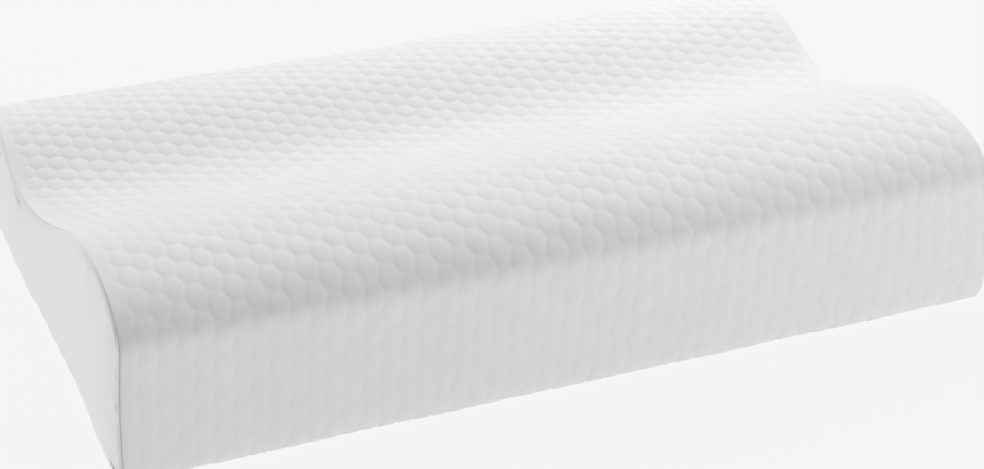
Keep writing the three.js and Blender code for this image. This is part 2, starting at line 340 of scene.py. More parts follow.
def puff_out(points, faces, held):
    """Inflates the cover as cloth with pressure inside, each point held back by the foam or a seam."""
    mesh = bpy.data.meshes.new("Puff")
    mesh.from_pydata([tuple(p) for p in points], [], faces)
    body = bpy.data.objects.new("Puff", mesh)
    scene = bpy.context.scene
    scene.collection.objects.link(body)
    face_outwards(body)
    group = body.vertex_groups.new(name="held")
    for weight in np.unique(held):
        group.add(np.flatnonzero(held == weight).tolist(), float(weight), "REPLACE")
    cloth = body.modifiers.new("Puff", "CLOTH")
    cloth.settings.quality = 5
    cloth.settings.mass = 0.25
    cloth.settings.tension_stiffness = 18
    cloth.settings.compression_stiffness = 12
    cloth.settings.shear_stiffness = 6
    cloth.settings.bending_stiffness = 0.6
    cloth.settings.use_pressure = True
    cloth.settings.uniform_pressure_force = PUFF_PRESSURE
    cloth.settings.vertex_group_mass = "held"
    cloth.settings.pin_stiffness = 2.0
    cloth.settings.effector_weights.gravity = 0
    cloth.collision_settings.use_collision = False
    cloth.point_cache.frame_start = 1
    cloth.point_cache.frame_end = PUFF_FRAMES
    for moment in range(1, PUFF_FRAMES + 1):
        scene.frame_set(moment)
    puffed = body.evaluated_get(bpy.context.evaluated_depsgraph_get())
    moved = np.empty(len(points) * 3)
    puffed.data.vertices.foreach_get("co", moved)
    moved = moved.reshape(-1, 3)
    scene.frame_set(1)
    bpy.data.objects.remove(body)
    bpy.data.meshes.remove(mesh)
    travel = moved - points
    length = np.linalg.norm(travel, axis=1)[:, None]
    travel *= np.minimum(1, PUFF_REACH / np.maximum(length, 1e-9))
    return points + travel


def settle(before, after):
    """Spreads each puffed point's travel over its neighbours, as thick quilting does with creases."""
    travel = after - before
    for _ in range(SETTLE_ROUNDS):
        round_net = (np.roll(travel, 1, axis=1) + np.roll(travel, -1, axis=1)) / 2
        travel = (travel + round_net) / 2
        inner = (travel[:-2] + travel[2:]) / 2
        travel[1:-1] = (travel[1:-1] + inner) / 2
    return before + travel


def soft_body(section):
    net, caps, centres = rest_net(section)
    points = np.vstack([net.reshape(-1, 3), caps.reshape(-1, 3), centres])
    held = np.full(len(points), FOAM_HOLD)
    held[:NET_AROUND] = SEAM_HOLD
    held[(NET_ALONG - 1) * NET_AROUND:NET_ALONG * NET_AROUND] = SEAM_HOLD
    points = puff_out(points, net_faces(), held)
    wrap_points = NET_ALONG * NET_AROUND
    cap_points = CAP_RINGS * NET_AROUND
    net = settle(net, points[:wrap_points].reshape(NET_ALONG, NET_AROUND, 3))
    ends = []
    for side in range(2):
        rings = points[wrap_points + side * cap_points:wrap_points + (side + 1) * cap_points]
        edge = net[0 if side == 0 else -1][None]
        middle = np.repeat(points[wrap_points + 2 * cap_points + side][None, None], NET_AROUND, axis=1)
        ends.append(np.concatenate([edge, rings.reshape(CAP_RINGS, NET_AROUND, 3), middle]))
    return net, ends


def curve_weights(part):
    """Catmull-Rom weights of the four points round a place, part of the way from the second to the third."""
    square = part * part
    cube = square * part
    return np.stack([
        (-cube + 2 * square - part) / 2,
        (3 * cube - 5 * square + 2) / 2,
        (-3 * cube + 4 * square + part) / 2,
        (cube - square) / 2,
    ])


def on_net(net, row, column):
    """Points on the smooth surface through a net, whose columns join up into a ring."""
    rows, columns = net.shape[:2]
    row = np.clip(row, 0, rows - 1)
    row_base = np.minimum(np.floor(row).astype(int), rows - 2)
    column_base = np.floor(column).astype(int)
    row_weights = curve_weights(row - row_base)
    column_weights = curve_weights(column - column_base)
    total = np.zeros((len(row), 3))
    for i in range(4):
        line = np.clip(row_base + i - 1, 0, rows - 1)
        for j in range(4):
            weight = row_weights[i] * column_weights[j]
            total += net[line, (column_base + j - 1) % columns] * weight[:, None]
    return total


def net_normals(net, row, column):
    rise = 0.05
    along = on_net(net, row + rise, column) - on_net(net, row - rise, column)
    across = on_net(net, row, column + rise) - on_net(net, row, column - rise)
    normals = np.cross(across, along)
    return normals / np.linalg.norm(normals, axis=1)[:, None]


# ---------------------------------------------------------------- honeycomb quilted panel

def hexagon_rings():
    """Lattice offsets and heights of one cell: its middle, its inner rings, then its outline."""
    angles = np.arange(12) * math.pi / 6
    reach = np.where(np.arange(12) % 2 == 0, 1.0, math.cos(math.pi / 6))
    outline = np.column_stack([np.cos(angles) * reach / 1.5, np.sin(angles) * reach / math.sqrt(3)])
    circle = np.column_stack([np.cos(angles) / 1.5, np.sin(angles) / math.sqrt(3)]) * 0.93
    offsets = [np.zeros((1, 2))]
    heights = [np.ones(1)]
    for part, roundness, height in QUILT_RINGS:
        offsets.append(part * (outline * (1 - roundness) + circle * roundness))
        heights.append(np.full(12, height))
    offsets.append(outline)
    heights.append(np.zeros(12))
    return np.vstack(offsets), np.concatenate(heights)


def cell_faces():
    faces = [(0, 1 + k, 1 + (k + 1) % 12) for k in range(12)]
    for ring in range(len(QUILT_RINGS)):
        inner = 1 + ring * 12
        outer = inner + 12
        for k in range(12):
            after = (k + 1) % 12
            faces.append((inner + k, outer + k, outer + after, inner + after))
    return faces


def along_cells(column, places):
    """Reads a column of CELL_LENGTHS at distances round the pillow."""
    return np.interp(places, [row[0] for row in CELL_LENGTHS], [row[column] for row in CELL_LENGTHS])


def row_places(girth):
    """Where the rows of cells lie round the pillow, from a little before the zip to a little past it."""
    places = [-6 * CELL_LENGTHS[0][1]]
    while places[-1] < girth + 6 * CELL_LENGTHS[-1][1]:
        places.append(places[-1] + along_cells(1, places[-1]))
    return np.array(places)


def stretch_quilting(columns, along):
    """Lays flat columns and places round the pillow as the sewn cover has pulled them."""
    across = columns * COLUMN_PITCH * (1 + COLUMN_SPREAD * columns)
    lean = COLUMN_LEAN * np.tanh((along - LEAN_MIDDLE) / LEAN_WIDTH)
    across = across + lean
    lift = LEFT_ROW_LIFT * np.exp(-(across + cad_high.x) / LEFT_LIFT_REACH)
    along = along - across * ROW_SLANT + lift
    return (
        across + QUILT_DRIFT * gentle_noise(across, along, 3, 5, 0.15, 0.5),
        along + 1.5 * QUILT_DRIFT * gentle_noise(across, along, 4, 5, 0.15, 0.5),
    )


def quilt_lattice(girth):
    """All cells of the panel as one flat mesh: across along X, round the girth, and height."""
    columns = int((cad_high.x + COLUMN_LEAN) / COLUMN_PITCH) + 6
    rows = row_places(girth)
    offsets, heights = hexagon_rings()
    places = []
    for column in range(-columns, columns + 1):
        for row in range(1, len(rows) - 1):
            places.append((column, row + 0.5 * (column % 2)))
    places = np.array(places, dtype=float)
    spots = (places[:, None, :] + offsets[None]).reshape(-1, 2)
    lift = np.tile(heights, len(places))
    along = np.interp(spots[:, 1], np.arange(len(rows)), rows)
    across, along = stretch_quilting(spots[:, 0], along)
    keys = np.round(spots * 600).astype(np.int64)
    _, first, same = np.unique(keys, axis=0, return_index=True, return_inverse=True)
    same = same.ravel()
    each = len(offsets)
    faces = []
    template = cell_faces()
    for cell in range(len(places)):
        base = cell * each
        for face in template:
            faces.append([same[base + k] for k in face])
    flat = np.column_stack([across, along, lift * QUILT_HEIGHT])[first]
    return flat, faces


def slice_at(shape, axis, value, keep=0):
    """Cuts the flat mesh along a line. keep of 1 or -1 removes what lies below or above the line."""
    reach = 22 * MM
    if keep:
        faces = list(shape.faces)
    else:
        faces = [f for f in shape.faces if abs(f.verts[0].co[axis] - value) < reach]
    edges = {e for f in faces for e in f.edges}
    verts = {v for f in faces for v in f.verts}
    place = [0, 0, 0]
    place[axis] = value
    normal = [0, 0, 0]
    normal[axis] = 1
    bmesh.ops.bisect_plane(shape, geom=[*verts, *edges, *faces], dist=1e-6, plane_co=place,
                           plane_no=normal, clear_outer=keep < 0, clear_inner=keep > 0)


def trimmed_lattice(girth, half):
    flat, faces = quilt_lattice(girth)
    spare = 20 * MM
    inside = np.abs(flat[:, 0]) < half + spare
    inside &= (flat[:, 1] > -spare) & (flat[:, 1] < girth + spare)
    faces = [f for f in faces if inside[f].all()]
    mesh = bpy.data.meshes.new("Lattice")
    mesh.from_pydata(flat.tolist(), [], faces)
    shape = bmesh.new()
    shape.from_mesh(mesh)
    bpy.data.meshes.remove(mesh)
    bmesh.ops.delete(shape, geom=[v for v in shape.verts if not v.link_faces], context="VERTS")
    slice_at(shape, 0, -half, 1)
    slice_at(shape, 0, half, -1)
    slice_at(shape, 1, 0, 1)
    slice_at(shape, 1, girth, -1)
    for depth in ROLL_CUTS:
        slice_at(shape, 0, depth * MM - half)
        slice_at(shape, 0, half - depth * MM)
    for depth in HEM_CUTS:
        slice_at(shape, 1, depth * MM)
        slice_at(shape, 1, girth - depth * MM)
    spots = np.array([v.co for v in shape.verts])
    shape.verts.index_update()
    faces = [[v.index for v in f.verts] for f in shape.faces]
    shape.free()
    return spots, faces


def roll_depth(distance, radius):
    """How far an edge has rolled under, at a distance in from it."""
    left = np.clip(radius - distance, 0, radius)
    return radius - np.sqrt(radius * radius - left * left)


def zip_opening(across):
    """Half the width of the opening that shows the zip, at a place along the pillow."""
    stop_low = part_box("zip_bottom_stop")[0].x
    top_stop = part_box("zip_top_stop_upper")[1].x
    end = max(-stop_low, top_stop) + 1 * MM
    return 5.6 * MM * (1 - smooth_step(np.abs(across), end, end + 7 * MM)) + 0.15 * MM


def floor_share(heights):
    """1 at the bottom of the pillow, falling to 0 a little way up."""
    return 1 - smooth_step(heights, 3 * MM, 11 * MM)


def rest_on_floor(points):
    points[:, 2] = np.maximum(points[:, 2], 0)
    return points


def quilted_panel(net, girth, material):
    half = cad_high.x - END_LINE
    spots, faces = trimmed_lattice(girth, half)
    across, along, lift = spots.T
    to_side = half - np.abs(across)
    to_zip = np.minimum(along, girth - along)
    fade = smooth_step(to_side, PLAIN_BORDER, PLAIN_BORDER + BORDER_FADE)
    fade *= smooth_step(to_zip, 7 * MM, 13 * MM)
    variety = along_cells(2, along) * (1 + 0.12 * gentle_noise(across, along, 8, 6, 0.03, 0.09))
    ease = np.exp(-to_zip / OPENING_REACH) * zip_opening(across)
    placed = along + np.where(along < girth / 2, ease, -ease)
    row = (across + half) / (2 * half) * (NET_ALONG - 1)
    column = placed / girth * NET_AROUND
    points = on_net(net, row, column)
    normals = net_normals(net, row, column)
    height = lift * fade * variety
    height -= roll_depth(to_side, ROLL_RADIUS)
    height -= roll_depth(to_zip, HEM_RADIUS)
    height += 0.35 * MM * gentle_noise(across, along, 5, 7, 0.07, 0.2)
    points = points + normals * height[:, None]
    points[:, 0] -= np.sign(across) * TUCK_UNDER * floor_share(points[:, 2]) * np.exp(-to_side / (5 * MM))
    panel = make_piece("quilted_panel", rest_on_floor(points), faces, material)
    panel.data.flip_normals()
    lay_cloth_map(panel, across, along)
    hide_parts("cover_wrap")


# ---------------------------------------------------------------- end panels and welts

def pucker_marks(girth, seed):
    """Short creases that run in from the seam: place round the edge, width, length and depth."""
    draw = np.random.RandomState(seed)
    marks = []
    for _ in range(PUCKER_COUNT):
        marks.append((draw.uniform(0, girth), draw.uniform(1.4, 2.8) * MM,
                      draw.uniform(4, 13) * MM, draw.uniform(0.3, 1.0) * PUCKER_DEPTH))
    return marks


def seam_gap(outs, direction):
    """The space between the two panels at the seam: wider down the left front, where a welt shows in it."""
    if direction > 0:
        return np.full(len(outs), RIGHT_SEAM_GAP)
    front = smooth_step(-outs[:, 0], 0.55, 0.98)
    return SEAM_GAP + (FRONT_SEAM_GAP - SEAM_GAP) * front


def seam_line(net_end, count):
    """The end of the cover: places round it, and the direction outwards in Y and Z at each."""
    column = np.arange(count) / count * NET_AROUND
    line = on_net(net_end, np.zeros(count), column)
    outs = outward(line[:, 1:])
    return line, outs


def nearest_on_seam(spots, line):
    """Distance from each spot to the seam, and the index of the closest place on it."""
    index = np.empty(len(spots), dtype=int)
    depth = np.empty(len(spots))
    for first in range(0, len(spots), 4000):
        part = spots[first:first + 4000]
        away = np.linalg.norm(part[:, None, :] - line[None], axis=2)
        index[first:first + 4000] = away.argmin(axis=1)
        depth[first:first + 4000] = away.min(axis=1)
    return depth, index


def end_panel(side, net_end, girth, material):
    """The plain panel at one end, in rings from the seam inwards, closer together beside the seam."""
    direction = -1 if side == "left" else 1
    rings, around = END_PANEL_RINGS, END_PANEL_AROUND
    inward = np.concatenate([np.linspace(0, 0.17, 22), np.linspace(0.195, 1, rings - 22)])
    line, outs = seam_line(net_end, around)
    column = np.arange(around) / around * NET_AROUND
    points = [on_net(net_end, np.full(around, part * (CAP_RINGS + 1)), column) for part in inward[:-1]]
    centre = on_net(net_end, np.full(around, CAP_RINGS + 1.0), column).mean(axis=0)
    points = np.vstack([*points, centre])
    depth, index = nearest_on_seam(points[:, 1:], line[:, 1:])
    depth[:around] = 0
    run = index / around * girth
    outs = outs[index]
    gap = seam_gap(outs, direction)
    front = smooth_step(-outs[:, 0], 0.2, 0.9)
    bottom = smooth_step(-outs[:, 1], 0.3, 0.9)
    pull = np.zeros(len(points))
    for place, width, length, deep in pucker_marks(girth, 21 if direction < 0 else 22):
        away = np.abs(run - place)
        away = np.minimum(away, girth - away)
        fan = width * (1 + 1.2 * depth / length)
        pull += deep * np.exp(-(away / fan) ** 2) * np.exp(-(depth / length) ** 2)
    sunk = (1.1 + 1.3 * front) * MM * np.exp(-depth / (9 * MM))
    edge = roll_depth(depth, 2.4 * MM) + bottom * roll_depth(depth, 6 * MM) * 0.5
    swell = 1.9 * MM * smooth_step(depth, 0, 32 * MM)
    wave = 0.3 * MM * gentle_noise(points[:, 1], points[:, 2], 31, 6, 0.05, 0.16)
    wave += 0.22 * MM * gentle_noise(points[:, 1], points[:, 2], 32, 8, 0.018, 0.05) * np.exp(-depth / 0.02)
    out = 1.3 * MM - (RIGHT_SET_BACK if direction > 0 else 0)
    points[:, 1:] -= outs * (gap * (1 - bottom) * np.exp(-depth / (10 * MM)))[:, None]
    points[:, 0] += direction * (out + swell + wave - sunk - edge - pull)
    faces = grid_faces(rings - 1, around, wrap=True)
    last = (rings - 2) * around
    faces += [(last + k, last + (k + 1) % around, len(points) - 1) for k in range(around)]
    panel = make_piece(f"end_panel_{side}", rest_on_floor(points), faces, material)
    face_outwards(panel)
    lay_cloth_map(panel, points[:, 1], points[:, 2])
    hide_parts(f"cover_end_{side}")


def seam_welt(side, net_end, girth, material):
    """The folded edge caught in the end seam: a strip that fills the gap between the two panels."""
    direction = -1 if side == "left" else 1
    around = WELT_AROUND
    line, outs = seam_line(net_end, around)
    right = 1 if direction > 0 else 0
    bottom = smooth_step(-outs[:, 1], 0.05, 0.6)
    gap = seam_gap(outs, direction) * (1 - 0.8 * bottom)
    run = np.arange(around) / around * girth
    front = smooth_step(-outs[:, 0], 0.55, 0.98) * (1 - bottom)
    ridge = 1 + 0.3 * gentle_noise(run, run * 0, 41, 6, 0.008, 0.05)
    fold = ((0.0 if right else LEFT_WELT_OVERLAP, -3.6), *WELT_FOLD)
    points = np.empty((len(fold), around, 3))
    for index, (share, height) in enumerate(fold):
        lift = (height - WELT_FOOT) * (0.2 + 0.7 * front) * ridge + WELT_FOOT
        points[index] = line
        inset = share * gap + WELT_DEPTH * (1 - front) + RIGHT_WELT_DEPTH * right
        points[index, :, 1:] -= outs * inset[:, None]
        points[index, :, 0] += direction * ((lift + 1.2) * MM - WELT_TUCK * bottom - RIGHT_SET_BACK * right)
    faces = grid_faces(len(fold), around, wrap=True)
    last = (len(fold) - 1) * around
    faces += [(last + k, last + (k + 1) % around, (k + 1) % around, k) for k in range(around)]
    welt = make_piece(f"welt_{side}", rest_on_floor(points.reshape(-1, 3)), faces, material)
    face_outwards(welt)
    lay_cloth_map(welt, np.tile(run, len(fold)), np.repeat(np.arange(len(fold)) * MM, around))
    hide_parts(f"seam_welt_{side}")


# ---------------------------------------------------------------- what is inside

def inner_body(name, node, material, inset, rounding):
    """A closed soft body inside the cover, from the same cross-section."""
    low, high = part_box(node)
    section, _ = cover_section()
    normals = outward(section)
    middle = section.mean(axis=0)
    stations = np.linspace(low.x, high.x, 41)
    rings = []
    for x in stations:
        from_end = min(x - low.x, high.x - x)
        rings.append((x, inset + float(roll_depth(np.array(from_end), rounding)), 1.0))
    points = []
    order = [(low.x, rings[0][1], 0.2), (low.x, rings[0][1], 0.6), *rings,
             (high.x, rings[-1][1], 0.6), (high.x, rings[-1][1], 0.2)]
    for x, depth, part in order:
        ring = middle + (section - normals * depth - middle) * part
        points.append(np.column_stack([np.full(len(ring), x), ring]))
    count = len(section)
    faces = grid_faces(len(order), count, wrap=True)
    points = np.vstack([*points, [[low.x, *middle]], [[high.x, *middle]]])
    last = (len(order) - 1) * count
    faces += [((k + 1) % count, k, len(points) - 2) for k in range(count)]
    faces += [(last + k, last + (k + 1) % count, len(points) - 1) for k in range(count)]
    body = make_piece(name, points, faces, material)
    face_outwards(body)
    lay_cloth_map(body, points[:, 0], points[:, 1] + points[:, 2])
    return body


# ---------------------------------------------------------------- zip

def softened_copy(name, node, material, body, bevel):
    """A copy of a metal piece with its edges rounded."""
    shape = bmesh.new()
    shape.from_mesh(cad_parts[node].data)
    bmesh.ops.remove_doubles(shape, verts=shape.verts, dist=1e-5)
    bmesh.ops.dissolve_limit(shape, angle_limit=math.radians(1), verts=shape.verts, edges=shape.edges)
    mesh = bpy.data.meshes.new(name)
    shape.to_mesh(mesh)
    shape.free()
    piece = bpy.data.objects.new(name, mesh)
    bpy.context.scene.collection.objects.link(piece)
    mesh.materials.clear()
    mesh.materials.append(material)
    rounding = piece.modifiers.new("Rounding", "BEVEL")
    rounding.width = bevel
    rounding.segments = 3
    rounding.limit_method = "ANGLE"
    rounding.harden_normals = False
    mesh.polygons.foreach_set("use_smooth", [True] * len(mesh.polygons))
    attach(piece, body)
    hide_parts(node)


def zip_frame():
    """The zip's middle line and the directions out of the wall and up it."""
    lower = node_middle("zip_coil_lower")
    upper = node_middle("zip_coil_upper")
    up = (upper - lower).normalized()
    out = up.cross(Vector((1, 0, 0))).normalized() * -1
    if out.y < 0:
        out = -out
    return (lower + upper) / 2, out, up


def zip_tape(name, node, material):
    """A thin woven tape with a slightly thicker selvedge beside the coil."""
    middle, out, up = zip_frame()
    spots = np.array([v.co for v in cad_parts[node].data.vertices]) - np.array(middle)
    high_up, far_out, along = spots @ np.array(up), spots @ np.array(out), spots[:, 0]
    outer = far_out > np.polyval(np.polyfit(high_up, far_out, 2), high_up)
    columns, rows = 320, 9
    clearance = 0.1 * MM
    points, across, upward = [], [], []
    for front in (True, False):
        chosen = outer if front else ~outer
        order = np.argsort(high_up[chosen])
        x, share = np.meshgrid(np.linspace(along.min(), along.max(), columns), np.linspace(0, 1, rows),
                               indexing="ij")
        x, share = x.ravel(), share.ravel()
        height = high_up.min() + share * (high_up.max() - high_up.min())
        selvedge = 0.12 * MM * np.exp(-(height / (1.6 * MM)) ** 2)
        ripple = 0.09 * MM * gentle_noise(x, height, 51, 6, 0.008, 0.03)
        depth = np.interp(height, high_up[chosen][order], far_out[chosen][order]) + ripple
        depth += selvedge - clearance if front else clearance
        spot = np.outer(height, np.array(up)) + np.outer(depth, np.array(out)) + np.array(middle)
        spot[:, 0] = x
        points.append(spot)
        across.append(x)
        upward.append(height)
    one = columns * rows
    faces = grid_faces(columns, rows)
    faces += [tuple(one + k for k in face[::-1]) for face in grid_faces(columns, rows)]
    faces += rim_faces(columns, rows, one)
    tape = make_piece(name, np.vstack(points), faces, material)
    face_outwards(tape)
    lay_cloth_map(tape, np.concatenate(across), np.concatenate(upward))
    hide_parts(node)


def zip_coil(name, node, material, side):
    """One half of the chain: a monofilament wound in flattened turns that hook into the other half."""
    low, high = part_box(node)
    middle, out, up = zip_frame()
    turns = int((high.x - low.x) / COIL_PITCH)
    steps = 14
    turn = np.arange(turns * steps + 1) / steps
    angle = turn * 2 * math.pi
    sideways = side * (COIL_SET_OFF - COIL_REACH * np.cos(angle))
    lift = COIL_RISE * np.sin(angle)
    shift = 0.5 * COIL_PITCH if side > 0 else 0
    room = high.x - low.x - 2 * COIL_THREAD - COIL_PITCH
    x = low.x + COIL_THREAD + turn * room / turns + shift
    centre_line = (np.array([middle.y, middle.z])[None]
                   + np.outer(sideways, [up.y, up.z]) + np.outer(lift, [out.y, out.z]))
    path = np.column_stack([x, centre_line])
    return tube(name, path, COIL_THREAD, 5, material)


def tube(name, path, radius, sides, material):
    """A round thread along a path."""
    tangent = np.gradient(path, axis=0)
    tangent /= np.linalg.norm(tangent, axis=1)[:, None]
    guide = np.array([0.31, 0.82, 0.48])
    first = np.cross(tangent, guide)
    first /= np.linalg.norm(first, axis=1)[:, None]
    second = np.cross(tangent, first)
    rings = []
    for k in range(sides):
        angle = 2 * math.pi * k / sides
        rings.append(path + radius * (first * math.cos(angle) + second * math.sin(angle)))
    points = np.stack(rings, axis=1).reshape(-1, 3)
    faces = grid_faces(len(path), sides, wrap=True)
    last = (len(path) - 1) * sides
    faces.append(tuple(range(sides))[::-1])
    faces.append(tuple(last + k for k in range(sides)))
    return make_piece(name, points, faces, material)


def stitch_row(name, path, normals, material, stitch, gap):
    """A row of sewing stitches along a line: short rounded threads with a small space between them."""
    steps = np.linalg.norm(np.diff(path, axis=0), axis=1)
    run = np.concatenate([[0], np.cumsum(steps)])
    count = int(run[-1] / (stitch + gap))
    points, faces = [], []
    sections = ((0.0, 0.05, -0.25), (0.12, 0.7, 0.0), (0.5, 1.0, 0.12), (0.88, 0.7, 0.0), (1.0, 0.05, -0.25))
    sides = 6
    for index in range(count):
        start = index * (stitch + gap)
        base = len(points)
        for part, fat, lift in sections:
            place = start + stitch * part
            centre = np.array([np.interp(place, run, path[:, k]) for k in range(3)])
            out = np.array([np.interp(place, run, normals[:, k]) for k in range(3)])
            ahead = np.array([np.interp(place + 0.2 * MM, run, path[:, k]) for k in range(3)]) - centre
            ahead /= max(np.linalg.norm(ahead), 1e-9)
            side = np.cross(out, ahead)
            for k in range(sides):
                angle = 2 * math.pi * k / sides
                points.append(centre + out * (lift * MM) + STITCH_RADIUS * fat
                              * (side * math.cos(angle) + out * math.sin(angle)))
        for ring in range(len(sections) - 1):
            for k in range(sides):
                after = (k + 1) % sides
                faces.append((base + ring * sides + k, base + ring * sides + after,
                              base + (ring + 1) * sides + after, base + (ring + 1) * sides + k))
    piece = make_piece(name, points, faces, material)
    face_outwards(piece)
    return piece


def hem_stitches(net, girth, material):
    """Topstitching along both edges of the zip's opening."""
    half = cad_high.x - END_LINE
    across = np.linspace(-STITCHING_REACH, STITCHING_REACH, 200)
    for name, edge in (("zip_stitching_upper", 1), ("zip_stitching_lower", -1)):
        along = STITCHING_INSET + np.exp(-STITCHING_INSET / OPENING_REACH) * zip_opening(across)
        column = along / girth * NET_AROUND if edge > 0 else (girth - along) / girth * NET_AROUND
        row = (across + half) / (2 * half) * (NET_ALONG - 1)
        path = on_net(net, row, column)
        normals = net_normals(net, row, column)
        path = path + normals * 0.12 * MM
        row_piece = stitch_row(name, path, normals, material, STITCH_LENGTH, STITCH_SPACE)


# ---------------------------------------------------------------- care label

def care_label(material):
    """A blank folded label, sewn into the right end seam and lying on the back wall."""
    low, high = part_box("care_label")
    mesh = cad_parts["care_label"].data
    spots = sorted({(round(v.co.z, 6), round(v.co.y, 6)) for v in mesh.vertices})
    heights = sorted({z for z, _ in spots})
    outer = np.array([max(y for h, y in spots if abs(h - z) < 3e-4) for z in heights])
    rows, columns = 15, 25
    points = []
    for layer in (0, 1):
        for i in range(columns):
            part = i / (columns - 1)
            for j in range(rows):
                share = j / (rows - 1)
                z = low.z + share * (high.z - low.z)
                wall = np.interp(z, heights, outer)
                curl = 0.9 * MM * (1 - part) ** 3 + 0.15 * MM * math.sin(part * 9 + share * 4)
                tuck = part ** 3 * (1.5 * MM + TUCK_UNDER * float(floor_share(z)))
                x = low.x + part * (high.x - low.x) - tuck
                points.append((x, wall + curl - layer * 0.45 * MM - part ** 6 * 1.2 * MM, z))
    one = rows * columns
    faces = grid_faces(columns, rows)
    faces += [tuple(one + k for k in face[::-1]) for face in grid_faces(columns, rows)]
    faces += rim_faces(columns, rows, one)
    label = make_piece("blank_label", points, faces, material)
    face_outwards(label)
    lay_cloth_map(label, np.array([p[0] for p in points]), np.array([p[2] for p in points]))
    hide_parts("care_label")


# ---------------------------------------------------------------- materials

def new_group(name, inputs, outputs):
    """A shader node group with named inputs (name, default) and outputs (name, kind)."""
    group = bpy.data.node_groups.new(name, "ShaderNodeTree")
    for label, default in inputs:
        kind = "NodeSocketVector" if default is None else "NodeSocketFloat"
        socket = group.interface.new_socket(label, in_out="INPUT", socket_type=kind)
        if default is not None:
            socket.default_value = default
    for label, kind in outputs:
        group.interface.new_socket(label, in_out="OUTPUT", socket_type=kind)
    source = group.nodes.new("NodeGroupInput")
    result = group.nodes.new("NodeGroupOutput")
    return group, source, result


def maths(tree, operation, first, second=None, third=None):
    """Works out a value in a shader from numbers or sockets. Returns the socket that holds it."""
    node = tree.nodes.new("ShaderNodeMath")
    node.operation = operation
    for index, value in enumerate((first, second, third)):
        if value is None:
            continue
        if isinstance(value, (int, float)):
            node.inputs[index].default_value = value
        else:
            tree.links.new(value, node.inputs[index])
    return node.outputs[0]


def knit_group():
    """Rows of knitted loops on a cloth map in metres, with soft uneven fibres."""
    group, source, result = new_group(
        "Knit loops",
        (("Map", None), ("Stitch width", 0.9), ("Stitch height", 0.7), ("Fuzz", 0.5)),
        (("Height", "NodeSocketFloat"), ("Shade", "NodeSocketFloat")),
    )
    split = group.nodes.new("ShaderNodeSeparateXYZ")
    group.links.new(source.outputs["Map"], split.inputs[0])
    across = maths(group, "DIVIDE", maths(group, "MULTIPLY", split.outputs[0], 1000.0),
                    source.outputs["Stitch width"])
    along = maths(group, "DIVIDE", maths(group, "MULTIPLY", split.outputs[1], 1000.0),
                   source.outputs["Stitch height"])
    wale = maths(group, "ABSOLUTE", maths(group, "SINE", maths(group, "MULTIPLY", across, math.pi)))
    lean = maths(group, "MULTIPLY", wale, 0.45)
    leaning = maths(group, "ADD", along, lean)
    course = maths(group, "SINE", maths(group, "MULTIPLY", leaning, 2 * math.pi))
    course = maths(group, "MULTIPLY_ADD", course, 0.5, 0.5)
    loops = maths(group, "MULTIPLY", maths(group, "POWER", wale, 0.6), course)
    fibres = group.nodes.new("ShaderNodeTexNoise")
    fibres.inputs["Scale"].default_value = 2400
    fibres.inputs["Detail"].default_value = 3
    group.links.new(source.outputs["Map"], fibres.inputs["Vector"])
    loose = maths(group, "MULTIPLY", fibres.outputs[0], source.outputs["Fuzz"])
    height = maths(group, "ADD", maths(group, "MULTIPLY", loops, 0.7), loose)
    group.links.new(height, result.inputs["Height"])
    blotch = group.nodes.new("ShaderNodeTexNoise")
    blotch.inputs["Scale"].default_value = 45
    blotch.inputs["Detail"].default_value = 4
    group.links.new(source.outputs["Map"], blotch.inputs["Vector"])
    # Colour value: lighter on the tops of the loops and darker in the gaps between them, which is painted
    # shade, mixed with a random uneven tone from the blotch noise.
    shade = maths(group, "MULTIPLY_ADD", loops, 0.35, maths(group, "MULTIPLY", blotch.outputs[0], 0.65))
    group.links.new(shade, result.inputs["Shade"])
    return group


def weave_group():
    """Plain woven threads on a cloth map in metres."""
    group, source, result = new_group(
        "Woven threads",
        (("Map", None), ("Thread", 0.4)),
        (("Height", "NodeSocketFloat"), ("Shade", "NodeSocketFloat")),
    )
    split = group.nodes.new("ShaderNodeSeparateXYZ")
    group.links.new(source.outputs["Map"], split.inputs[0])
    scaled = [maths(group, "DIVIDE", maths(group, "MULTIPLY", split.outputs[k], 1000.0 * math.pi),
                     source.outputs["Thread"]) for k in range(2)]
    over = maths(group, "ABSOLUTE", maths(group, "SINE", scaled[0]))
    under = maths(group, "ABSOLUTE", maths(group, "SINE", scaled[1]))
    turn = maths(group, "MULTIPLY", maths(group, "SINE", maths(group, "MULTIPLY", scaled[0], 0.5)),
                  maths(group, "SINE", maths(group, "MULTIPLY", scaled[1], 0.5)))
    choice = maths(group, "GREATER_THAN", turn, 0.0)
    weave = group.nodes.new("ShaderNodeMix")
    group.links.new(choice, weave.inputs[0])
    group.links.new(over, weave.inputs[2])
    group.links.new(under, weave.inputs[3])
    group.links.new(weave.outputs[0], result.inputs["Height"])
    cloudy = group.nodes.new("ShaderNodeTexNoise")
    cloudy.inputs["Scale"].default_value = 300
    group.links.new(source.outputs["Map"], cloudy.inputs["Vector"])
    uneven = maths(group, "MULTIPLY", cloudy.outputs[0], 0.6)
    # Colour value: lighter on the crowns of the threads and darker between them, which is painted shade,
    # mixed with a random cloudy tone.
    shade = maths(group, "MULTIPLY_ADD", weave.outputs[0], 0.4, uneven)
    group.links.new(shade, result.inputs["Shade"])
    return group


def new_material(name, roughness, metallic=0.0, sheen=0.0, coat=0.0):
    material = bpy.data.materials.new(name)
    material.use_nodes = True
    shader = material.node_tree.nodes["Principled BSDF"]
    shader.inputs["Roughness"].default_value = roughness
    shader.inputs["Metallic"].default_value = metallic
    shader.inputs["Sheen Weight"].default_value = sheen
    shader.inputs["Sheen Roughness"].default_value = 0.5
    shader.inputs["Coat Weight"].default_value = coat
    return material, material.node_tree, shader


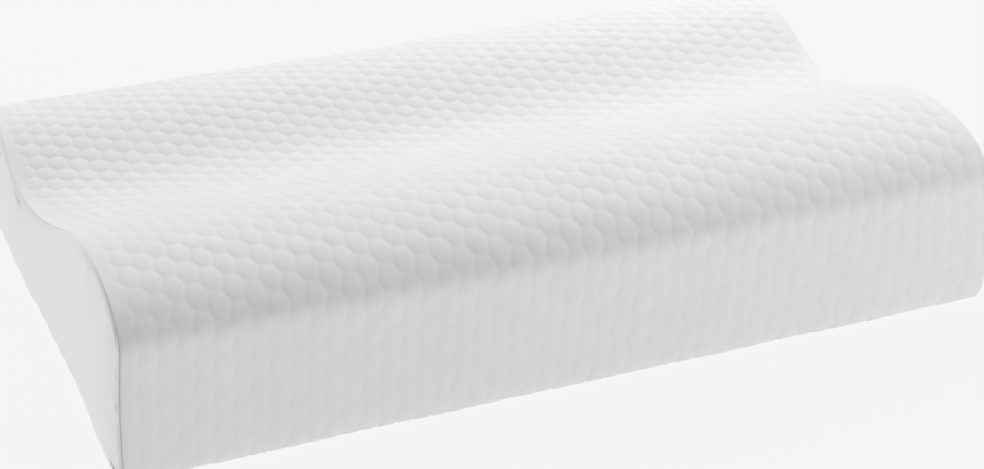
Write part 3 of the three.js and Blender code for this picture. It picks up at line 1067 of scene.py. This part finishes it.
def tint(tree, shader, shade, dark, light):
    """Colours the surface between two close tones by a value."""
    ramp = tree.nodes.new("ShaderNodeMapRange")
    ramp.inputs["From Min"].default_value = 0.25
    ramp.inputs["From Max"].default_value = 0.75
    tree.links.new(shade, ramp.inputs["Value"])
    mix = tree.nodes.new("ShaderNodeMix")
    mix.data_type = "RGBA"
    mix.inputs[6].default_value = (*dark, 1)
    mix.inputs[7].default_value = (*light, 1)
    tree.links.new(ramp.outputs[0], mix.inputs[0])
    tree.links.new(mix.outputs[2], shader.inputs["Base Color"])


def emboss(tree, shader, height, strength, distance):
    bump = tree.nodes.new("ShaderNodeBump")
    bump.inputs["Strength"].default_value = strength
    bump.inputs["Distance"].default_value = distance
    tree.links.new(height, bump.inputs["Height"])
    tree.links.new(bump.outputs[0], shader.inputs["Normal"])


def cloth_map(tree):
    node = tree.nodes.new("ShaderNodeUVMap")
    node.uv_map = "Cloth"
    return node.outputs[0]


def cloth_material(name, group, values, dark, light, roughness, sheen, strength, depth):
    """A knitted or woven cloth: one of the two groups, with its own values."""
    material, tree, shader = new_material(name, roughness, sheen=sheen)
    cloth = tree.nodes.new("ShaderNodeGroup")
    cloth.node_tree = group
    for label, value in values.items():
        cloth.inputs[label].default_value = value
    tree.links.new(cloth_map(tree), cloth.inputs["Map"])
    # The cloth's colour follows the group's Shade value: painted shade between the loops of the knit and the
    # threads of the weave, mixed with random tone.
    tint(tree, shader, cloth.outputs["Shade"], dark, light)
    emboss(tree, shader, cloth.outputs["Height"], strength, depth)
    return material


def knit_material(name, group, width, height, fuzz, dark, light, sheen, depth):
    values = {"Stitch width": width, "Stitch height": height, "Fuzz": fuzz}
    return cloth_material(name, group, values, dark, light, 0.93, sheen, 0.7, depth)


def woven_material(name, group, thread, dark, light, roughness, sheen):
    return cloth_material(name, group, {"Thread": thread}, dark, light, roughness, sheen, 0.6, 0.0002)


def grained_material(name, roughness, texture, scale, dark, light, relief=None, **finish):
    """A solid stuff with a fine grain of its own, which also sets its colour, so that where the grain gives
    relief its low places are darker: in the foam's cells that is painted shade in the pits. Its relief is a
    strength and a depth in metres.
    """
    material, tree, shader = new_material(name, roughness, **finish)
    place = tree.nodes.new("ShaderNodeTexCoord")
    grain = tree.nodes.new(texture)
    grain.inputs["Scale"].default_value = scale
    tree.links.new(place.outputs["Object"], grain.inputs["Vector"])
    tint(tree, shader, grain.outputs[0], dark, light)
    if relief:
        emboss(tree, shader, grain.outputs[0], *relief)
    return material


def thread_material():
    material, tree, shader = new_material("Sewing thread", 0.7, sheen=0.2)
    place = tree.nodes.new("ShaderNodeTexCoord")
    ply = tree.nodes.new("ShaderNodeTexWave")
    ply.inputs["Scale"].default_value = 1600
    ply.inputs["Distortion"].default_value = 1.5
    ply.bands_direction = "DIAGONAL"
    tree.links.new(place.outputs["Object"], ply.inputs["Vector"])
    # The ply's strands lighter and the grooves between them darker, from the same wave as the relief:
    # painted shade.
    tint(tree, shader, ply.outputs["Fac"], (0.74, 0.735, 0.72), (0.85, 0.845, 0.83))
    emboss(tree, shader, ply.outputs["Fac"], 0.4, 0.0001)
    return material


def make_materials():
    knit = knit_group()
    weave = weave_group()
    return {
        # The dark and light tones of each cloth are the two ends of that tint; the dark end stands partly
        # for painted shade between loops and threads.
        "quilt": knit_material("Quilted knit", knit, 0.95, 0.75, 0.5,
                               (0.875, 0.87, 0.855), (0.92, 0.917, 0.905), 0.2, 0.00015),
        "plain": knit_material("Plain knit", knit, 0.8, 0.6, 0.35,
                               (0.885, 0.883, 0.87), (0.92, 0.918, 0.91), 0.2, 0.0001),
        "liner": knit_material("Liner jersey", knit, 0.7, 0.55, 0.4,
                               (0.82, 0.82, 0.81), (0.88, 0.88, 0.87), 0.1, 0.00012),
        "tape": woven_material("Zip tape weave", weave, 0.55, (0.70, 0.70, 0.69),
                               (0.80, 0.80, 0.79), 0.8, 0.15),
        "label": woven_material("Label satin", weave, 0.25, (0.86, 0.86, 0.85),
                                (0.92, 0.92, 0.91), 0.5, 0.1),
        # The foam's cells are darker in their pits and lighter on the walls between them: painted shade.
        "foam": grained_material("Memory foam", 0.95, "ShaderNodeTexVoronoi", 900,
                                 (0.72, 0.62, 0.42), (0.86, 0.78, 0.58), (0.8, 0.0005)),
        "metal": grained_material("White enamel", 0.35, "ShaderNodeTexNoise", 1500,
                                  (0.66, 0.66, 0.65), (0.74, 0.74, 0.73), (0.15, 0.0001),
                                  metallic=0.25, coat=0.4),
        "nylon": grained_material("Nylon monofilament", 0.38, "ShaderNodeTexNoise", 700,
                                  (0.74, 0.74, 0.73), (0.84, 0.84, 0.83)),
        "thread": thread_material(),
    }


# ---------------------------------------------------------------- studio

def make_floor():
    material = bpy.data.materials.new("Pale floor")
    material.use_nodes = True
    tree = material.node_tree
    tree.nodes.clear()
    result = tree.nodes.new("ShaderNodeOutputMaterial")
    glow = tree.nodes.new("ShaderNodeEmission")
    glow.inputs["Color"].default_value = (0.92, 0.92, 0.92, 1)
    glow.inputs["Strength"].default_value = 0.95
    matte = tree.nodes.new("ShaderNodeBsdfDiffuse")
    matte.inputs["Color"].default_value = (0.05, 0.05, 0.05, 1)
    both = tree.nodes.new("ShaderNodeAddShader")
    tree.links.new(glow.outputs[0], both.inputs[0])
    tree.links.new(matte.outputs[0], both.inputs[1])
    tree.links.new(both.outputs[0], result.inputs["Surface"])
    mesh = bpy.data.meshes.new("Floor")
    signs = ((-1, -1), (1, -1), (1, 1), (-1, 1))
    corners = [(x * FLOOR_REACH, y * FLOOR_REACH, FLOOR_HEIGHT) for x, y in signs]
    mesh.from_pydata(corners, [], [(0, 1, 2, 3)])
    floor = bpy.data.objects.new("Floor", mesh)
    mesh.materials.append(material)
    bpy.context.scene.collection.objects.link(floor)


def add_light(name, place, power):
    """A square softbox that faces the middle of the pillow."""
    data = bpy.data.lights.new(name, "AREA")
    data.shape = "RECTANGLE"
    data.size, data.size_y = SOFTBOX_SIZE, SOFTBOX_SIZE
    data.energy = power
    light = bpy.data.objects.new(name, data)
    light.location = place
    light.rotation_mode = "QUATERNION"
    light.rotation_quaternion = (SOFTBOX_AIM - Vector(place)).to_track_quat("-Z", "Y")
    bpy.context.scene.collection.objects.link(light)


def make_lights():
    add_light("Back left softbox", (-1.4, 1.2, 1.1), 12)
    add_light("Back top softbox", (0, 1.0, 1.7), 10)
    add_light("Back right softbox", (0.5, 1.1, 0.8), 7.5)
    add_light("Right top softbox", (0.8, 0.4, 0.9), 5)
    add_light("Right front softbox", (1.3, -1.3, 1.0), 18)
    add_light("Left front softbox", (-1.3, -1.3, 1.0), 3)
    add_light("Left softbox", (-1.9, -0.2, 0.7), 7)
    world = bpy.data.worlds.new("Studio")
    world.use_nodes = True
    world.node_tree.nodes["Background"].inputs["Color"].default_value = (1, 1, 1, 1)
    world.node_tree.nodes["Background"].inputs["Strength"].default_value = 0.02
    bpy.context.scene.world = world
    bpy.context.scene.view_settings.view_transform = "Standard"


# ---------------------------------------------------------------- assembly

def build_pillow():
    materials = make_materials()
    section, girth = cover_section()
    net, ends = soft_body(section)
    quilted_panel(net, girth, materials["quilt"])
    for side, net_end in zip(("left", "right"), ends):
        end_panel(side, net_end, girth, materials["plain"])
        seam_welt(side, net_end, girth, materials["plain"])
    core = inner_body("foam_block", "foam_core", materials["foam"], 8.5 * MM, 5 * MM)
    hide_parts("foam_core")
    liner = inner_body("liner_sock", "liner_sleeve", materials["liner"], 7.2 * MM, 4 * MM)
    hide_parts("liner_sleeve", "liner_end_left", "liner_end_right")
    for node in ("zip_tape_upper", "zip_tape_lower"):
        zip_tape(node.replace("zip_", "woven_"), node, materials["tape"])
    for node, side in (("zip_coil_upper", 1), ("zip_coil_lower", -1)):
        coil = zip_coil(node.replace("zip_coil", "coil"), node, materials["nylon"], side)
        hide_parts(node)
    softened_copy("slider_body", "zip_slider", materials["metal"], "slider", 0.2 * MM)
    softened_copy("pull_tab", "zip_pull", materials["metal"], "pull", 0.25 * MM)
    for name in ("zip_top_stop_upper", "zip_top_stop_lower", "zip_bottom_stop"):
        softened_copy(name.replace("zip_", "crimped_"), name, materials["metal"], "pillow",
                      0.3 * MM)
    hem_stitches(net, girth, materials["thread"])
    care_label(materials["label"])


make_camera()
make_floor()
make_lights()
build_pillow()
